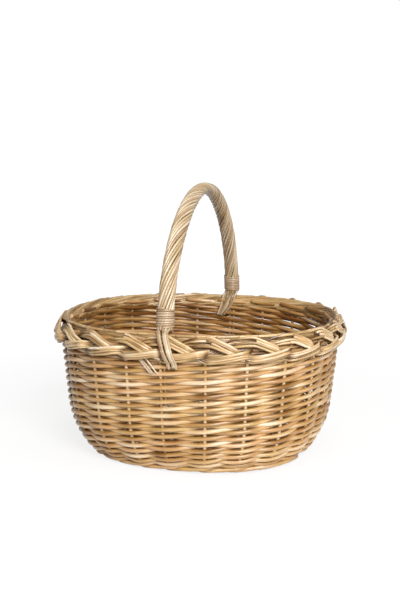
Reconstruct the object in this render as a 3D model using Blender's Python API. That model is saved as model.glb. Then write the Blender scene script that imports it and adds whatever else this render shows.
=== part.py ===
"""An oval willow basket with a fixed roped handle, built rod by rod, in metres with +Z up.

The origin is on the floor under the basket's middle. X runs along the oval and Y across it, and the
handle spans Y. A place on the oval is a turn, from 0 at +X round to 1, and an inset from the border's
outline.
"""
import math

import bmesh
import bpy
import numpy as np
from mathutils import Vector

# Whole basket
BORDER_LENGTH = 0.420
BORDER_WIDTH = 0.390
OVAL_POWER = 2.3
CLEARANCE = 0.0003
STAKE_COUNT = 22

# Wall, measured along the middle of its stakes
STAKE_DIAMETER = 0.0050
WEAVER_DIAMETER = 0.0045
BORDER_OVERHANG = 0.012
SIDING_TOP = 0.163
WALL_LEAN_SHARE = 0.038
CORNER_HEIGHT = 0.070
CORNER_REACH_SHARE = 0.090
CORNER_STEPS = 5
FOOT_FLAT_SHARE = 0.0383
SIDING_BANDS = 3
BUTT_GAP = 0.002

# Foot wale, three thick rods that twist round the stakes
WALE_DIAMETER = 0.0055
WALE_RODS = 3
WALE_STAKES = 41
WALE_START = 0.002
FOOT_WEAR = 0.0012

# Base, slit cross sticks threaded by long sticks
CROSS_STICKS = 5
LONG_STICKS = 3
STICK_DIAMETER = 0.0060
SLIT_CHEEK = 0.0033
SLIT_TAPER = 0.007
SLATH_LENGTH_SHARE = 0.55
SLATH_MARGIN = 0.0097
CROSS_SPREAD_SHARE = 0.69
LONG_FAN_SHARE = 0.425
BASE_EDGE_GAP = 0.0050
BASE_HEIGHT = 0.0098
BASE_DOME = 0.006
BASE_SLACK = 0.0011
BUNDLED_ROUNDS = 2

# Border, a plait of three strands that leans outward
PLAIT_SWING = 0.0128
PLAIT_DEPTH = 0.0040
PLAIT_LEAN = math.radians(24)
PLAIT_INSET = 0.0100
PLAIT_RISE = 0.018
STRAND_COUNT = 3
STRAND_WIDTH = 0.0124
STRAND_THICKNESS = 0.0048
STRAND_SIDES = 6
STRAND_STEPS = 4
STAKE_TIP_INSET = 0.0150
STAKE_TIP_RISE = 0.0075

# Handle, a thick bow with rods roped round it
HANDLE_HEIGHT = 0.3745
SPRING_RISE = 0.016
HANDLE_POWER = 1.9
BOW_DIAMETER = 0.0090
BOW_POINT_DIAMETER = 0.0048
BOW_DEPTH = 0.068
BOW_TAPER = 0.008
BOW_STEPS = 24
ROPE_RODS = 9
ROPE_DIAMETER = 0.0044
ROPE_GAP = 0.0008
ROPE_TURNS = 4
ROPE_STEPS = 30
ROPE_FOOT = 0.0065
TAIL_DRIFT = 0.014
INNER_TAIL_GAP = 0.0035
TAIL_CREST_SHARES = (1, 0.82, 0.4, 0, -0.4, -0.85)
TAIL_FACE_SHARES = (0.6, 0.86, 1.06, 1.06, 1.06, 0.9)
TAIL_DRIFT_SHARES = (0, 0.12, 0.35, 0.5, 0.65, 0.85)
BINDING_DIAMETER = 0.0022
BINDING_GAP = 0.0007
BINDING_TURNS = 8
BINDING_STEPS = 12

# What the sizes above give
BORDER_MEAN = (BORDER_LENGTH + BORDER_WIDTH) / 2
WALL_LEAN = WALL_LEAN_SHARE * BORDER_MEAN
CORNER_REACH = CORNER_REACH_SHARE * BORDER_MEAN
FOOT_FLAT = FOOT_FLAT_SHARE * BORDER_MEAN
WALL_HALF = STAKE_DIAMETER / 2 + CLEARANCE + WEAVER_DIAMETER
WEAVER_OFFSET = (STAKE_DIAMETER + WEAVER_DIAMETER) / 2 + CLEARANCE
WALE_OFFSET = (STAKE_DIAMETER + WALE_DIAMETER) / 2 + CLEARANCE
FOOT_HEIGHT = WALE_OFFSET + WALE_DIAMETER / 2 - FOOT_WEAR
TOP_INSET = BORDER_OVERHANG + WALL_HALF
ROW_PITCH = WEAVER_DIAMETER + CLEARANCE
HANDLE_PLACES = (STAKE_COUNT // 4, STAKE_COUNT // 4 + STAKE_COUNT // 2)
HANDLE_REACH = BORDER_WIDTH / 2 - TOP_INSET
PLAIT_HEIGHT = SIDING_TOP + PLAIT_RISE
STAKE_TIP_HEIGHT = SIDING_TOP + STAKE_TIP_RISE
HANDLE_SPRING = PLAIT_HEIGHT + SPRING_RISE
WALE_LIFT = WALE_DIAMETER / 2 + 2 * CLEARANCE
WALE_CLIMB = 2 * WALE_LIFT + WALE_DIAMETER + CLEARANCE

# Tables read between their samples
OVAL_SAMPLES = 720
ARCH_SAMPLES = 240


def unit_oval(angle):
    """A point of the oval whose half-length and half-width are 1."""
    c, s = math.cos(angle), math.sin(angle)
    power = 2 / OVAL_POWER
    return math.copysign(abs(c) ** power, c), math.copysign(abs(s) ** power, s)


def oval_table():
    """Angles of the border's oval, the share of its length that each has run, and that length."""
    angles = np.linspace(0, math.tau, OVAL_SAMPLES + 1)
    points = np.array([unit_oval(a) for a in angles]) * (BORDER_LENGTH / 2, BORDER_WIDTH / 2)
    runs = np.concatenate([[0], np.cumsum(np.hypot(*np.diff(points, axis=0).T))])
    return angles, runs / runs[-1], runs[-1]


TURN_ANGLES, TURN_SHARES, PERIMETER = oval_table()


def on_oval(turn, inset, height):
    """The point at a turn round the basket, an inset in from the border's outline, and a height."""
    c, s = unit_oval(np.interp(turn % 1.0, TURN_SHARES, TURN_ANGLES))
    return Vector(((BORDER_LENGTH / 2 - inset) * c, (BORDER_WIDTH / 2 - inset) * s, height))


def wall_table():
    """The wall's middle up from the base's edge: run, inset, height and outward normal."""
    swings = np.linspace(0, math.pi / 2, CORNER_STEPS + 1)
    rises = CORNER_HEIGHT * (1 - np.cos(swings))
    heights = np.array([FOOT_HEIGHT, *(FOOT_HEIGHT + rises), SIDING_TOP])
    corners = np.array([CORNER_REACH + FOOT_FLAT, *(CORNER_REACH * (1 - np.sin(swings))), 0])
    leans = WALL_LEAN * (SIDING_TOP - heights) / (SIDING_TOP - FOOT_HEIGHT)
    insets = TOP_INSET + corners + leans
    runs = np.concatenate([[0], np.cumsum(np.hypot(np.diff(insets), np.diff(heights)))])
    outs, ups = np.gradient(heights, runs), np.gradient(insets, runs)
    lengths = np.hypot(outs, ups)
    return runs, insets, heights, outs / lengths, ups / lengths


WALL = wall_table()
WALL_RUN = WALL[0][-1]

# Rounds of siding that the wall has room for above the wale, and the base's size inside the wall
WALE_RUN = WALE_START + WALE_CLIMB * WALE_STAKES / STAKE_COUNT + 2 * WALE_LIFT + WALE_DIAMETER / 2
SIDING_ROUNDS = int((WALL_RUN - WALE_RUN) / (2 * ROW_PITCH))
BASE_LENGTH = BORDER_LENGTH - 2 * (WALL[1][0] + BASE_EDGE_GAP)
BASE_WIDTH = BORDER_WIDTH - 2 * (WALL[1][0] + BASE_EDGE_GAP)
SLATH_LENGTH = SLATH_LENGTH_SHARE * BASE_LENGTH
SLIT_WIDTH = LONG_STICKS * (STICK_DIAMETER + CLEARANCE) + CLEARANCE
SLATH_WIDTH = SLIT_WIDTH + SLIT_CHEEK + 2 * (SLIT_TAPER + SLATH_MARGIN)
WEAVE_WIDTH = min(BASE_LENGTH - SLATH_LENGTH, BASE_WIDTH - SLATH_WIDTH) / 2
BASE_ROUNDS = int(WEAVE_WIDTH / (2 * ROW_PITCH))


def on_wall(turn, run, offset=0.0):
    """A point at a turn round the wall and a run up it, offset outward from the middle of its stakes."""
    inset, height, out, up = (np.interp(run, WALL[0], column) for column in WALL[1:])
    return on_oval(turn, inset - offset * out, height + offset * up)


def in_plait(turn, across, outward):
    """A point of the plait, across its width towards the crest and outward from its middle."""
    out = outward * math.cos(PLAIT_LEAN) - across * math.sin(PLAIT_LEAN)
    up = outward * math.sin(PLAIT_LEAN) + across * math.cos(PLAIT_LEAN)
    return on_oval(turn, PLAIT_INSET - out, PLAIT_HEIGHT + up)


def place_turn(place):
    """The turn of one of the evenly spaced places for stakes, with two of them at the handle."""
    return (place + 0.5) / STAKE_COUNT


def shift(length, inset=0.0):
    """The part of a turn that a length along the oval takes, at an inset."""
    return length / (PERIMETER * (1 - 2 * inset / BORDER_LENGTH))


def stake_turn(place):
    """The turn of a stake, which stands aside at the handle to leave room for the bow's end."""
    if place not in HANDLE_PLACES:
        return place_turn(place)
    lowest = np.interp(WALL_RUN - BOW_DEPTH, WALL[0], WALL[1])
    return place_turn(place) - shift((STAKE_DIAMETER + BOW_POINT_DIAMETER) / 2 + CLEARANCE, lowest)


def arch_table():
    """The handle's middle above its springing: run along it, place across the basket and height."""
    angles = np.linspace(0, math.pi, ARCH_SAMPLES + 1)
    power = 2 / HANDLE_POWER
    c, s = np.cos(angles), np.abs(np.sin(angles))
    across = -HANDLE_REACH * np.sign(c) * np.abs(c) ** power
    heights = HANDLE_SPRING + (HANDLE_HEIGHT - HANDLE_SPRING) * s ** power
    runs = np.concatenate([[0], np.cumsum(np.hypot(np.diff(across), np.diff(heights)))])
    return runs, across, heights


ARCH = arch_table()
ARCH_RUN = ARCH[0][-1]


def on_arch(run, radius=0.0, angle=0.0):
    """A point round the handle's middle. Angle 0 faces away from the basket's middle."""
    step = ARCH_RUN / ARCH_SAMPLES
    before, middle, after = (
        Vector((0, *(np.interp(r, ARCH[0], column) for column in ARCH[1:])))
        for r in (run - step, run, run + step)
    )
    forward = (after - before).normalized()
    away = Vector((0, -forward.z, forward.y))
    return middle + radius * (math.cos(angle) * away + math.sin(angle) * Vector((1, 0, 0)))


def make_material(name, colour, roughness):
    """A plain willow finish."""
    material = bpy.data.materials.new(name)
    material.use_nodes = True
    shader = material.node_tree.nodes["Principled BSDF"]
    shader.inputs["Base Color"].default_value = (*colour, 1)
    shader.inputs["Roughness"].default_value = roughness
    shader.inputs["Metallic"].default_value = 0
    return material


def link(name, data, material):
    """A new object in the scene, with its material."""
    data.materials.append(material)
    thing = bpy.data.objects.new(name, data)
    bpy.context.scene.collection.objects.link(thing)
    return thing


def rod(name, points, diameter, material, rounding=0, diameters=None, twist="Z_UP"):
    """A rod along its points, 4 sided at rounding 0 and 6 sided at 1, tapered by its diameters."""
    curve = bpy.data.curves.new(name, "CURVE")
    curve.dimensions = "3D"
    curve.twist_mode = twist
    curve.bevel_depth = diameter / 2
    curve.bevel_resolution = rounding
    curve.use_fill_caps = True
    spline = curve.splines.new("POLY")
    spline.points.add(len(points) - 1)
    for index, point in enumerate(points):
        spline.points[index].co = (*point, 1)
        if diameters:
            spline.points[index].radius = diameters[index] / diameter
    return link(name, curve, material)


def meshed(thing):
    """The same object with its curve turned into a mesh, ready to be cut."""
    name, material = thing.name, thing.data.materials[0]
    mesh = bpy.data.meshes.new_from_object(thing.evaluated_get(bpy.context.evaluated_depsgraph_get()))
    bpy.data.objects.remove(thing)
    mesh.materials.clear()
    return link(name, mesh, material)


def loft(name, rings, material):
    """A closed solid through rings of as many points each, with flat ends."""
    mesh = bpy.data.meshes.new(name)
    form = bmesh.new()
    rows = [[form.verts.new(point) for point in ring] for ring in rings]
    sides = len(rows[0])
    for lower, upper in zip(rows, rows[1:]):
        for i in range(sides):
            j = (i + 1) % sides
            form.faces.new((lower[i], lower[j], upper[j], upper[i]))
    form.faces.new(reversed(rows[0]))
    form.faces.new(rows[-1])
    bmesh.ops.recalc_face_normals(form, faces=form.faces)
    form.to_mesh(mesh)
    form.free()
    return link(name, mesh, material)


def cut(thing, cutter):
    """Takes the cutter's shape out of the thing."""
    modifier = thing.modifiers.new("cut", "BOOLEAN")
    modifier.operation = "DIFFERENCE"
    modifier.solver = "EXACT"
    modifier.object = cutter


def make_cutter(name, size, location, rounded=False):
    """A box or an upright cylinder that only cuts."""
    form = bmesh.new()
    if rounded:
        bmesh.ops.create_cone(form, cap_ends=True, segments=8, radius1=0.5, radius2=0.5, depth=1)
    else:
        bmesh.ops.create_cube(form, size=1)
    bmesh.ops.scale(form, vec=size, verts=form.verts)
    mesh = bpy.data.meshes.new(name)
    form.to_mesh(mesh)
    form.free()
    cutter = bpy.data.objects.new(name, mesh)
    bpy.context.scene.collection.objects.link(cutter)
    cutter.location = location
    cutter.hide_render = True
    cutter.display_type = "WIRE"
    return cutter


def make_stakes(material):
    """The upright stakes, from the base's edge round the corner and up into the border."""
    for place in range(STAKE_COUNT):
        turn = stake_turn(place)
        points = [on_wall(turn, run) for run in WALL[0]]
        points.append(on_oval(turn, STAKE_TIP_INSET, STAKE_TIP_HEIGHT))
        rod(f"stake_{place + 1:02d}", points, STAKE_DIAMETER, material)


def make_siding(material):
    """Pairs of weavers that chase each other up the wall, each before one stake and behind the next."""
    posts = []
    for place in range(STAKE_COUNT):
        posts.append((stake_turn(place), place))
        if place in HANDLE_PLACES:
            posts.append((place_turn(place), place))
    start = WALL_RUN - WEAVER_DIAMETER / 2 - 2 * SIDING_ROUNDS * ROW_PITCH
    first_turn = posts[0][0]
    for band in range(SIDING_BANDS):
        rounds = SIDING_ROUNDS // SIDING_BANDS + int(band < SIDING_ROUNDS % SIDING_BANDS)
        for chaser in range(2):
            begin = start + (chaser - 1) * ROW_PITCH
            points = []
            for lap in range(rounds):
                for turn, place in posts:
                    side = 1 if (place + chaser) % 2 else -1
                    run = begin + 2 * ROW_PITCH * (lap + turn)
                    points.append(on_wall(turn, run, side * WEAVER_OFFSET))
            side = 1 if chaser % 2 else -1
            last = first_turn - shift(BUTT_GAP)
            run = begin + 2 * ROW_PITCH * (rounds + last)
            points.append(on_wall(last, run, side * WEAVER_OFFSET))
            rod(f"siding_{band + 1}_weaver_{chaser + 1}", points, WEAVER_DIAMETER, material)
        start += 2 * rounds * ROW_PITCH


def make_foot_wale(material):
    """Thick rods that each pass before two stakes and behind the third, worn flat underneath."""
    stations = (
        ((-WALE_OFFSET, 0), (0, -WALE_LIFT)),
        ((WALE_OFFSET, -WALE_LIFT), (WALE_OFFSET, 0)),
        ((WALE_OFFSET, WALE_LIFT), (0, WALE_LIFT)),
    )
    size = (BORDER_LENGTH, BORDER_LENGTH, WALE_DIAMETER)
    floor = make_cutter("floor_cutter", size, (0, 0, -WALE_DIAMETER / 2))
    for number in range(WALE_RODS):
        points = []
        for step in range(WALE_STAKES):
            lap, place = divmod(step + number, STAKE_COUNT)
            turn = lap + stake_turn(place)
            following, next_place = divmod(step + number + 1, STAKE_COUNT)
            after = following + stake_turn(next_place)
            for share, (offset, rise) in zip((0, 0.5), stations[step % WALE_RODS]):
                here = turn + share * (after - turn)
                run = WALE_START + WALE_LIFT + WALE_CLIMB * here + rise
                points.append(on_wall(here, run, offset))
        thing = rod(f"foot_wale_{number + 1}", points, WALE_DIAMETER, material)
        cut(meshed(thing), floor)


def stick_ends():
    """Each stick end's name, its point at the slath and its point at the base's edge, in turn order."""
    pitch = STICK_DIAMETER + CLEARANCE
    ends = []
    for number in range(CROSS_STICKS):
        share = CROSS_SPREAD_SHARE * (2 * number / (CROSS_STICKS - 1) - 1)
        rest = (1 - abs(share) ** OVAL_POWER) ** (1 / OVAL_POWER)
        for way in (1, -1):
            near = Vector((SLATH_LENGTH / 2 * share, way * SLATH_WIDTH / 2 * rest))
            far = Vector((BASE_LENGTH / 2 * share, way * BASE_WIDTH / 2 * rest))
            ends.append((f"cross_stick_{number + 1}", near, far))
    for number in range(LONG_STICKS):
        rank = number - (LONG_STICKS - 1) / 2
        share = LONG_FAN_SHARE * rank
        rest = (1 - abs(share) ** OVAL_POWER) ** (1 / OVAL_POWER)
        for way in (1, -1):
            near = Vector((way * SLATH_LENGTH / 2, rank * pitch))
            far = Vector((way * BASE_LENGTH / 2 * rest, BASE_WIDTH / 2 * share))
            ends.append((f"long_stick_{number + 1}", near, far))
    return sorted(ends, key=lambda end: math.atan2(end[2].y, end[2].x))


def on_base(end, share, offset=0.0):
    """A point along a stick's end, from the slath at share 0 to the base's edge at 1."""
    place = end[1].lerp(end[2], share)
    return Vector((*place, BASE_HEIGHT + BASE_DOME * (1 - share) + offset))


def make_base_sticks(material):
    """Long sticks laid side by side, and cross sticks slit open to let them through."""
    middle = BASE_HEIGHT + BASE_DOME
    slit_height = STICK_DIAMETER + 2 * CLEARANCE
    cutter = make_cutter("slit_cutter", (SLATH_LENGTH, SLIT_WIDTH, slit_height), (0, 0, middle))
    cheek = slit_height + 2 * SLIT_CHEEK
    pairs = {}
    for end in stick_ends():
        pairs.setdefault(end[0], []).append(end)
    for name, (first, second) in pairs.items():
        points = [on_base(first, 1), on_base(first, 0), on_base(second, 0), on_base(second, 1)]
        if name.startswith("long"):
            rod(name, points, STICK_DIAMETER, material, 1)
            continue
        x, way = first[1].x, math.copysign(1, first[1].y)
        full = (SLIT_WIDTH + SLIT_CHEEK) / 2
        places = (full + SLIT_TAPER, full, -full, -full - SLIT_TAPER)
        points[2:2] = [Vector((x, way * place, middle)) for place in places]
        widths = [STICK_DIAMETER] * 3 + [cheek] * 2 + [STICK_DIAMETER] * 3
        cut(meshed(rod(name, points, STICK_DIAMETER, material, 1, widths)), cutter)


def make_base_weave(material):
    """Two weavers that chase each other out from the slath, over one stick end and under the next.

    The long sticks are too close at first, so the first rounds take the three of each end as one.
    """
    ends = stick_ends()
    offset = (STICK_DIAMETER + WEAVER_DIAMETER) / 2 + BASE_SLACK
    for chaser in range(2):
        points, side = [], 1 - 2 * chaser
        for step in range(BASE_ROUNDS * len(ends)):
            lap, index = divmod(step, len(ends))
            same_bundle = ends[index][0][:4] == ends[index - 1][0][:4] == "long"
            if not (same_bundle and lap < BUNDLED_ROUNDS):
                side = -side
            share = (2 * step / len(ends) + chaser) / (2 * BASE_ROUNDS)
            points.append(on_base(ends[index], share, side * offset))
        rod(f"base_weaver_{chaser + 1}", points, WEAVER_DIAMETER, material)


def strand_ring(turn, phase):
    """One cross-section of a plait strand, flat to the plait and square to the strand."""
    repeats = STAKE_COUNT / STRAND_COUNT
    peak = 1.5 * math.sin(math.pi / 3)

    def middle(nudge):
        angle = math.tau * repeats * (turn + nudge) + phase
        depth = -PLAIT_DEPTH * (math.sin(2 * angle) + math.sin(4 * angle) / 2) / peak
        return in_plait(turn + nudge, PLAIT_SWING * math.sin(angle), depth)

    nudge = 1 / (STRAND_STEPS * STAKE_COUNT) / STRAND_SIDES
    forward = (middle(nudge) - middle(-nudge)).normalized()
    face = in_plait(turn, 0, PLAIT_SWING) - in_plait(turn, 0, 0)
    side = forward.cross(face).normalized()
    out = side.cross(forward).normalized()
    ring = []
    for i in range(STRAND_SIDES):
        angle = math.tau * i / STRAND_SIDES
        across = STRAND_WIDTH / 2 * math.cos(angle) * side
        ring.append(middle(0) + across + STRAND_THICKNESS / 2 * math.sin(angle) * out)
    return ring


def make_border(material):
    """Three strands plaited once round the rim, each ending where the next begins."""
    steps = STAKE_COUNT * STRAND_STEPS
    end = 1 - shift(CLEARANCE)
    bore = BOW_POINT_DIAMETER + 2 * CLEARANCE
    drills = []
    for number, place in enumerate(HANDLE_PLACES):
        at = on_oval(place_turn(place), TOP_INSET, HANDLE_SPRING)
        size = (bore, bore, 2 * BOW_DEPTH)
        drills.append(make_cutter(f"bow_cutter_{number + 1}", size, at, rounded=True))
    for number in range(STRAND_COUNT):
        phase = math.tau * number / STRAND_COUNT
        rings = [strand_ring(end * step / steps, phase) for step in range(steps + 1)]
        thing = loft(f"border_strand_{number + 1}", rings, material)
        for drill in drills:
            cut(thing, drill)


def make_bow(material):
    """The thick bow of the handle, whose sharpened ends run down beside two stakes."""
    runs = np.linspace(BOW_TAPER, ARCH_RUN - BOW_TAPER, BOW_STEPS + 1)
    arch = [on_arch(run) for run in runs]
    legs = []
    for place in HANDLE_PLACES:
        turn = place_turn(place)
        leg = [on_wall(turn, WALL_RUN - BOW_DEPTH), on_wall(turn, WALL_RUN)]
        legs.append([*leg, on_oval(turn, TOP_INSET, HANDLE_SPRING)])
    points = [*legs[1], *arch, *reversed(legs[0])]
    widths = [BOW_POINT_DIAMETER] * 3 + [BOW_DIAMETER] * len(arch) + [BOW_POINT_DIAMETER] * 3
    rod("handle_bow", points, BOW_DIAMETER, material, 1, widths, "MINIMUM")


def outer_tail(foot, sway, radius):
    """A rod's end over the outside of the border and down onto the siding."""
    crest = PLAIT_SWING + STRAND_WIDTH / 2 + radius
    face = PLAIT_DEPTH + STRAND_THICKNESS / 2 + radius + CLEARANCE
    points = []
    for up, out, along in zip(TAIL_CREST_SHARES, TAIL_FACE_SHARES, TAIL_DRIFT_SHARES):
        points.append(in_plait(foot + shift(sway + along * TAIL_DRIFT), up * crest, out * face))
    below = BORDER_OVERHANG - radius - CLEARANCE
    points.append(on_oval(foot + shift(sway + TAIL_DRIFT, below), below, SIDING_TOP - 2 * radius))
    return points


def inner_tail(foot, sway, depth, radius):
    """A rod's end down the inside of the border, to just above the siding."""
    inset = TOP_INSET + max(depth, BOW_POINT_DIAMETER / 2 + CLEARANCE + radius)
    start = on_oval(foot + shift(sway, inset), inset, HANDLE_SPRING)
    turn = foot + shift(sway + TAIL_DRIFT, inset)
    return [start, on_oval(turn, inset, SIDING_TOP + INNER_TAIL_GAP)]


def make_rope(material):
    """Rods roped round the bow, whose ends part over the border to its outside and inside."""
    radius = BOW_DIAMETER / 2 + ROPE_GAP + ROPE_DIAMETER / 2
    spacing = ROPE_DIAMETER + 4 * CLEARANCE
    feet = ((HANDLE_PLACES[1], 0, 1), (HANDLE_PLACES[0], 1, -1))
    for number in range(ROPE_RODS):
        start = math.tau * number / ROPE_RODS
        points = []
        for step in range(ROPE_STEPS + 1):
            share = step / ROPE_STEPS
            run = ROPE_FOOT + share * (ARCH_RUN - 2 * ROPE_FOOT)
            points.append(on_arch(run, radius, start + math.tau * ROPE_TURNS * share))
        tails = []
        for place, share, way in feet:
            angle = start + math.tau * ROPE_TURNS * share
            away = math.cos(angle)
            sway = spacing * way * math.asin(math.sin(angle)) * ROPE_RODS / math.tau
            if away > 0:
                tails.append(outer_tail(place_turn(place), sway, ROPE_DIAMETER / 2))
            else:
                depth = -away * radius
                tails.append(inner_tail(place_turn(place), sway, depth, ROPE_DIAMETER / 2))
        points = [*reversed(tails[0]), *points, *tails[1]]
        rod(f"rope_rod_{number + 1}", points, ROPE_DIAMETER, material, twist="MINIMUM")


def least_gap(points, diameter, skip):
    """The least gap between turns of a coil, measured between points at least skip steps apart."""
    least = math.inf
    for i, a in enumerate(points):
        for b in points[i + skip:]:
            least = min(least, (a - b).length)
    return least - diameter


def make_bindings(material):
    """Fine cane wound round each foot of the handle, as one unbroken tube."""
    radius = BOW_DIAMETER / 2 + ROPE_GAP + ROPE_DIAMETER + CLEARANCE + BINDING_DIAMETER / 2
    pitch = BINDING_DIAMETER + BINDING_GAP
    foot = ROPE_FOOT + BINDING_DIAMETER
    for name, way in (("front_binding", 1), ("back_binding", -1)):
        points = []
        for step in range(BINDING_TURNS * BINDING_STEPS + 1):
            share = step / BINDING_STEPS
            run = foot + share * pitch
            run = run if way > 0 else ARCH_RUN - run
            points.append(on_arch(run, radius, math.tau * share))
        rod(name, points, BINDING_DIAMETER, material, twist="MINIMUM")
        gap = least_gap(points, BINDING_DIAMETER, BINDING_STEPS // 2)
        print(f"{name} least gap between turns {gap * 1000:.2f} mm")


def main():
    for thing in list(bpy.data.objects):
        bpy.data.objects.remove(thing)
    stake = make_material("stake_willow", (0.55, 0.36, 0.17), 0.45)
    weaver = make_material("weaver_willow", (0.62, 0.41, 0.19), 0.42)
    plait = make_material("border_willow", (0.66, 0.46, 0.24), 0.38)
    handle = make_material("handle_willow", (0.68, 0.49, 0.27), 0.36)
    cane = make_material("binding_cane", (0.72, 0.55, 0.28), 0.35)
    base = make_material("base_willow", (0.48, 0.31, 0.15), 0.50)
    make_base_sticks(base)
    make_base_weave(base)
    make_stakes(stake)
    make_foot_wale(weaver)
    make_siding(weaver)
    make_border(plait)
    make_bow(handle)
    make_rope(handle)
    make_bindings(cane)


main()
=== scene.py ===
"""Dresses the willow basket: smooth tapered rods over the frame's plain ones, in metres with +Z up.

Each woven piece stands for the CAD node of the same name. A place on the oval is a turn, from 0 at +X
round to 1, and an inset from the border's outline, as in the part's source.
"""
import math

import bpy
import numpy as np
from mathutils import Matrix, Vector

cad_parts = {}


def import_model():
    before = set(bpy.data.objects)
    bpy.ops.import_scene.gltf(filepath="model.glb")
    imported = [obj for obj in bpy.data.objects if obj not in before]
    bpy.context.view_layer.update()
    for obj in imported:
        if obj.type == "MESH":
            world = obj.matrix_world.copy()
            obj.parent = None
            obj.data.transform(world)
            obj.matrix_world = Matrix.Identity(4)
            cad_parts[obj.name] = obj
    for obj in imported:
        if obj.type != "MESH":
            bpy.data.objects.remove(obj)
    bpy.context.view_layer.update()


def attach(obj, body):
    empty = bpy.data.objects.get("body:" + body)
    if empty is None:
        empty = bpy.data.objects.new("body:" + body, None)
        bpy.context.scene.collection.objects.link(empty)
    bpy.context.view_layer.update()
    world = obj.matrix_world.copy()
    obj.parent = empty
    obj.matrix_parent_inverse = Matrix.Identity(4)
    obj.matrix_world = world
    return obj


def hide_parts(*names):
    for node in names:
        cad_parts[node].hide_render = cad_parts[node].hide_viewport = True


TAU = math.tau
MM = 0.001

# The sizes of the part's source
BORDER_LENGTH = 0.420
BORDER_WIDTH = 0.390
OVAL_POWER = 2.3
CLEARANCE = 0.0003
STAKE_COUNT = 22
STAKE_DIAMETER = 0.0050
WEAVER_DIAMETER = 0.0045
BORDER_OVERHANG = 0.012
SIDING_TOP = 0.163
CORNER_HEIGHT = 0.070
BORDER_MEAN = (BORDER_LENGTH + BORDER_WIDTH) / 2
WALL_LEAN = 0.038 * BORDER_MEAN
CORNER_REACH = 0.090 * BORDER_MEAN
FOOT_FLAT = 0.0383 * BORDER_MEAN
SIDING_ROUNDS = (6, 5, 5)
WALE_DIAMETER = 0.0055
WALE_RODS = 3
WALE_STAKES = 41
WALE_START = 0.002
FOOT_WEAR = 0.0012
CROSS_STICKS = 5
LONG_STICKS = 3
STICK_DIAMETER = 0.0060
SLIT_CHEEK = 0.0033
SLIT_TAPER = 0.007
SLATH_MARGIN = 0.0097
CROSS_SPREAD_SHARE = 0.69
LONG_FAN_SHARE = 0.425
BASE_EDGE_GAP = 0.0050
BASE_HEIGHT = 0.0098
BASE_DOME = 0.006
BASE_SLACK = 0.0011
BASE_ROUNDS = 9
BUNDLED_ROUNDS = 3
PLAIT_SWING = 0.0128
PLAIT_DEPTH = 0.0040
PLAIT_LEAN = math.radians(24)
PLAIT_INSET = 0.0100
PLAIT_HEIGHT = SIDING_TOP + 0.018
STRAND_COUNT = 3
HANDLE_HEIGHT = 0.3745
HANDLE_SPRING = PLAIT_HEIGHT + 0.016
HANDLE_POWER = 1.9
BOW_DIAMETER = 0.0090
BOW_POINT_DIAMETER = 0.0048
BOW_DEPTH = 0.068
BOW_TAPER = 0.008
ROPE_RODS = 9
ROPE_DIAMETER = 0.0044
ROPE_GAP = 0.0008
ROPE_TURNS = 4
ROPE_FOOT = 0.0065
TAIL_DRIFT = 0.014
BINDING_DIAMETER = 0.0022
BINDING_GAP = 0.0007
BINDING_TURNS = 8

# What the photo shows beyond the part's own sizes. Behind the plait the stakes and the top band go on
# up, where the CAD part keeps a plain gap.
RIM_RISE = 0.030
RIM_TUCK = 0.0020
RIM_ROUNDS = 3
STAKE_RISE = 0.022
# The wall and the wale go on a little way under the base.
FOOT_LEAD = 0.014
WALE_LEAD = 13
# The floor's weavers start inside the slath and end past the sticks' ends, in shares of the way out.
BASE_START = -0.2
BASE_REACH = 1.045
# How far the handle leans sideways, in metres.
HANDLE_LEAN = 0.001
# The spacing of the handle's rods round it, the ones that end outside the border, and the ones beside
# which a short cut rod stands out of the wall.
ROPE_GAPS = (1, 1, 1.2, 1, 1, 1, 1.2) * 2
ROPE_OUTSIDE = (0, 1, 2, 11, 12)
ROPE_CUT = (4, 6, 8, 9)
# The plait's lower edge curls in below this distance from its middle. Its crest sags to the front left.
PLAIT_CURL = 30.0
CURL_START = 0.004
CREST_DROP = 0.0020
CREST_TILT = 0.0034

WALL_HALF = STAKE_DIAMETER / 2 + CLEARANCE + WEAVER_DIAMETER
WALE_OFFSET = (STAKE_DIAMETER + WALE_DIAMETER) / 2 + CLEARANCE
FOOT_HEIGHT = WALE_OFFSET + WALE_DIAMETER / 2 - FOOT_WEAR
TOP_INSET = BORDER_OVERHANG + WALL_HALF
ROW_PITCH = WEAVER_DIAMETER + CLEARANCE
HANDLE_PLACES = (STAKE_COUNT // 4, STAKE_COUNT // 4 + STAKE_COUNT // 2)
HANDLE_REACH = BORDER_WIDTH / 2 - TOP_INSET
SLIT_WIDTH = LONG_STICKS * (STICK_DIAMETER + CLEARANCE) + CLEARANCE
SLATH_WIDTH = SLIT_WIDTH + SLIT_CHEEK + 2 * (SLIT_TAPER + SLATH_MARGIN)


def unit_oval(angle):
    """Points of the oval whose half-length and half-width are 1."""
    c, s = np.cos(angle), np.sin(angle)
    power = 2 / OVAL_POWER
    return np.sign(c) * np.abs(c) ** power, np.sign(s) * np.abs(s) ** power


def oval_table():
    """Angles of the border's oval, the share of its length that each has run, and that length."""
    angles = np.linspace(0, TAU, 2881)
    points = np.stack(unit_oval(angles), 1) * (BORDER_LENGTH / 2, BORDER_WIDTH / 2)
    runs = np.concatenate([[0], np.cumsum(np.hypot(*np.diff(points, axis=0).T))])
    return angles, runs / runs[-1], runs[-1]


ANGLES, SHARES, PERIMETER = oval_table()


def on_oval(turn, inset, height):
    """Points at a turn round the basket, an inset in from the border's outline, and a height."""
    c, s = unit_oval(np.interp(np.mod(turn, 1.0), SHARES, ANGLES))
    x, y = (BORDER_LENGTH / 2 - inset) * c, (BORDER_WIDTH / 2 - inset) * s
    return np.stack(np.broadcast_arrays(x, y, height), -1).astype(float)


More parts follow.
